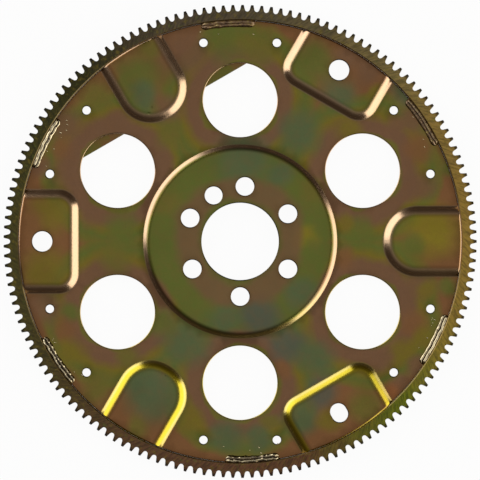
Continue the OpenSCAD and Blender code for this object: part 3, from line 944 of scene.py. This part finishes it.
def ring_corner(middle):
    """Corner line between the sheet's front and the ring's bore, around an angle."""
    def corner(s):
        angle = middle + math.degrees(s / BORE_R)
        x, y = polar(1.0, angle)
        return (np.array([BORE_R * x, BORE_R * y, WEB_FRONT]), np.array([-x, -y, 0.0]),
                np.array([0.0, 0.0, 1.0]))
    return corner


def curved_edge_corner(middle):
    """Corner line between the sheet's back and the weight's round side, around an angle."""
    def corner(s):
        angle = middle + math.degrees(s / WEIGHT_RADIUS)
        x, y = polar(1.0, angle)
        return (np.array([WEIGHT_RADIUS * x, WEIGHT_RADIUS * y, WEB_BACK]), np.array([x, y, 0.0]),
                np.array([0.0, 0.0, -1.0]))
    return corner


def straight_edge_corner(middle):
    """Corner line between the sheet's back and the weight's straight side, around a place along it."""
    out = polar(1.0, HEAVY_ANGLE)
    side = polar(1.0, HEAVY_ANGLE + 90)

    def corner(s):
        x, y = out * WEIGHT_CHORD + side * (middle + s)
        return (np.array([x, y, WEB_BACK]), np.array([-out[0], -out[1], 0.0]),
                np.array([0.0, 0.0, -1.0]))
    return corner


sheet_metal = sheet_finish()
ring_metal = ring_finish()
weight_metal = weight_finish()
weld_metal = weld_finish()

add_piece(build_disc(), sheet_metal, "plated_sheet", "disc")
add_piece(build_ring(), ring_metal, "plated_ring", "ring_gear")
add_piece(build_weight(), weight_metal, "plated_weight", "balance_weight")

RING_BEAD_R = 3.2
RING_BEAD_HALF = 16.0
RING_BEAD_TURN = 3.2
# Groove, gloss with the strength of its painted highlights and painted shade, broken share of the
# painted highlights, lumps and spatter of each ring weld, from the one at 33 degrees onward
RING_BEADS = (
    (0.24, 0.22, 0.4, 0.06, 3), (0.2, 0.08, 0.6, 0.05, 3), (0.38, 1.0, 0.2, 0.09, 9),
    (0.32, 1.0, 0.12, 0.14, 7), (0.24, 0.9, 0.25, 0.16, 5), (0.4, 1.0, 0.15, 0.08, 7),
)
for i, (groove, gloss_and_glint, broken, lumpy, spatter) in enumerate(RING_BEADS):
    corner = ring_corner((i + 0.5) * SECTOR + RING_BEAD_TURN)
    bead = build_bead(f"ring_bead_{i + 1}", corner, RING_BEAD_HALF, RING_BEAD_R, i + 1,
                      groove, gloss_and_glint, broken, lumpy, spatter)
    add_piece(bead, weld_metal, "weld_bead", f"ring_weld_{i + 1}")

WEIGHT_BEAD_R = 2.6
LONG_BEAD_HALF = 7.0
LONG_BEAD_TURN = 29
SHORT_BEAD_HALF = 2.7
SHORT_BEAD_INSET = 0.4
FIRST_WEIGHT_SEED = 20
# Groove, gloss with the strength of the painted highlights and painted shade, broken share of the
# painted highlights and lumps of the weight's welds
WEIGHT_BEAD_LOOK = (0.05, 0.4, 0.5, 0.06)
chord_middle = WEIGHT_HALF - SHORT_BEAD_INSET - SHORT_BEAD_HALF - WEIGHT_BEAD_R
WEIGHT_BEADS = (
    (curved_edge_corner(HEAVY_ANGLE - LONG_BEAD_TURN), LONG_BEAD_HALF),
    (curved_edge_corner(HEAVY_ANGLE + LONG_BEAD_TURN), LONG_BEAD_HALF),
    (straight_edge_corner(-chord_middle), SHORT_BEAD_HALF),
    (straight_edge_corner(chord_middle), SHORT_BEAD_HALF),
)
for i, (corner, half_length) in enumerate(WEIGHT_BEADS, 1):
    bead = build_bead(f"weight_bead_{i}", corner, half_length, WEIGHT_BEAD_R, FIRST_WEIGHT_SEED + i,
                      *WEIGHT_BEAD_LOOK)
    add_piece(bead, weld_metal, "weld_bead", f"weight_weld_{i}")


def add_panel(name, azimuth, width, level, colour):
    """A soft light panel, in metres, that stands beside the object above the floor and faces it."""
    distance, height, bottom = 1.5, 2.1, 0.06
    lamp = bpy.data.lights.new(name, "AREA")
    lamp.shape = "RECTANGLE"
    lamp.size = width
    lamp.size_y = height
    lamp.energy = 4 * width * height * level
    lamp.color = colour
    obj = bpy.data.objects.new(name, lamp)
    bpy.context.collection.objects.link(obj)
    x, y = polar(distance, azimuth)
    obj.location = (x, y, bottom + height / 2)
    obj.rotation_euler = Vector((-x, -y, 0.0)).to_track_quat("-Z", "Y").to_euler()
    obj.visible_camera = False


add_panel("left_panel", 147.5, 1.9, 1.75, (1.0, 0.98, 0.95))
add_panel("right_panel", 343.0, 2.4, 1.75, (1.0, 0.97, 0.9))


def make_world():
    """Soft light from above that gets dimmer towards the horizon."""
    world = bpy.data.worlds.new("studio")
    bpy.context.scene.world = world
    world.use_nodes = True
    nodes, links = world.node_tree.nodes, world.node_tree.links
    way = nodes.new("ShaderNodeTexCoord").outputs["Generated"]
    split = nodes.new("ShaderNodeSeparateXYZ")
    links.new(way, split.inputs[0])
    ramp = nodes.new("ShaderNodeValToRGB")
    # Sine of the height above the horizon, and the colour there
    stops = (
        (0.0, (0.05, 0.038, 0.03)), (0.5, (0.05, 0.039, 0.031)), (0.74, (0.105, 0.09, 0.077)),
        (0.866, (0.3, 0.28, 0.26)), (0.94, (0.49, 0.475, 0.46)), (0.985, (0.69, 0.69, 0.69)),
        (0.996, (0.86, 0.86, 0.86)), (1.0, (0.96, 0.96, 0.96)),
    )
    while len(ramp.color_ramp.elements) < len(stops):
        ramp.color_ramp.elements.new(1.0)
    for element, (position, colour) in zip(ramp.color_ramp.elements, stops):
        element.position = position
        element.color = (*colour, 1.0)
    links.new(split.outputs[2], ramp.inputs["Fac"])
    links.new(ramp.outputs["Color"], nodes["Background"].inputs["Color"])
    nodes["Background"].inputs["Strength"].default_value = 1.0


def make_floor():
    """A white floor that shows white to the camera and in reflections, and keeps a soft shadow."""
    size, gap, white_share = 20.0, 0.0002, 0.95
    mesh = bpy.data.meshes.new("floor")
    mesh.from_pydata([(-size, -size, 0), (size, -size, 0), (size, size, 0), (-size, size, 0)], [],
                     [[0, 1, 2, 3]])
    floor = bpy.data.objects.new("floor", mesh)
    floor.location.z = -gap
    bpy.context.collection.objects.link(floor)
    material = bpy.data.materials.new("floor_white")
    material.use_nodes = True
    nodes, links = material.node_tree.nodes, material.node_tree.links
    nodes.remove(nodes["Principled BSDF"])
    diffuse = nodes.new("ShaderNodeBsdfDiffuse")
    diffuse.inputs["Color"].default_value = (0.8, 0.8, 0.8, 1.0)
    glow = nodes.new("ShaderNodeEmission")
    path = nodes.new("ShaderNodeLightPath")
    seen = nodes.new("ShaderNodeMath")
    seen.operation = "MAXIMUM"
    links.new(path.outputs["Is Camera Ray"], seen.inputs[0])
    links.new(path.outputs["Is Glossy Ray"], seen.inputs[1])
    either = nodes.new("ShaderNodeMath")
    either.operation = "MAXIMUM"
    links.new(seen.outputs[0], either.inputs[0])
    links.new(path.outputs["Is Transmission Ray"], either.inputs[1])
    share = nodes.new("ShaderNodeMath")
    share.operation = "MULTIPLY"
    share.inputs[1].default_value = white_share
    links.new(either.outputs[0], share.inputs[0])
    mix = nodes.new("ShaderNodeMixShader")
    links.new(share.outputs[0], mix.inputs[0])
    links.new(diffuse.outputs[0], mix.inputs[1])
    links.new(glow.outputs[0], mix.inputs[2])
    links.new(mix.outputs[0], nodes["Material Output"].inputs["Surface"])
    floor.data.materials.append(material)


def make_camera():
    """Straight above the part, framed as in the photograph."""
    data = bpy.data.cameras.new("camera")
    data.sensor_width = 36.0
    distance, seen_width = 1.6, 0.3312
    middle_x, middle_y = -0.0001, 0.00097
    data.lens = data.sensor_width * distance / seen_width
    camera = bpy.data.objects.new("camera", data)
    camera.location = (middle_x, middle_y, distance + RING_W * MM)
    bpy.context.collection.objects.link(camera)
    bpy.context.scene.camera = camera


make_world()
make_floor()
make_camera()
bpy.context.scene.view_settings.view_transform = "Standard"
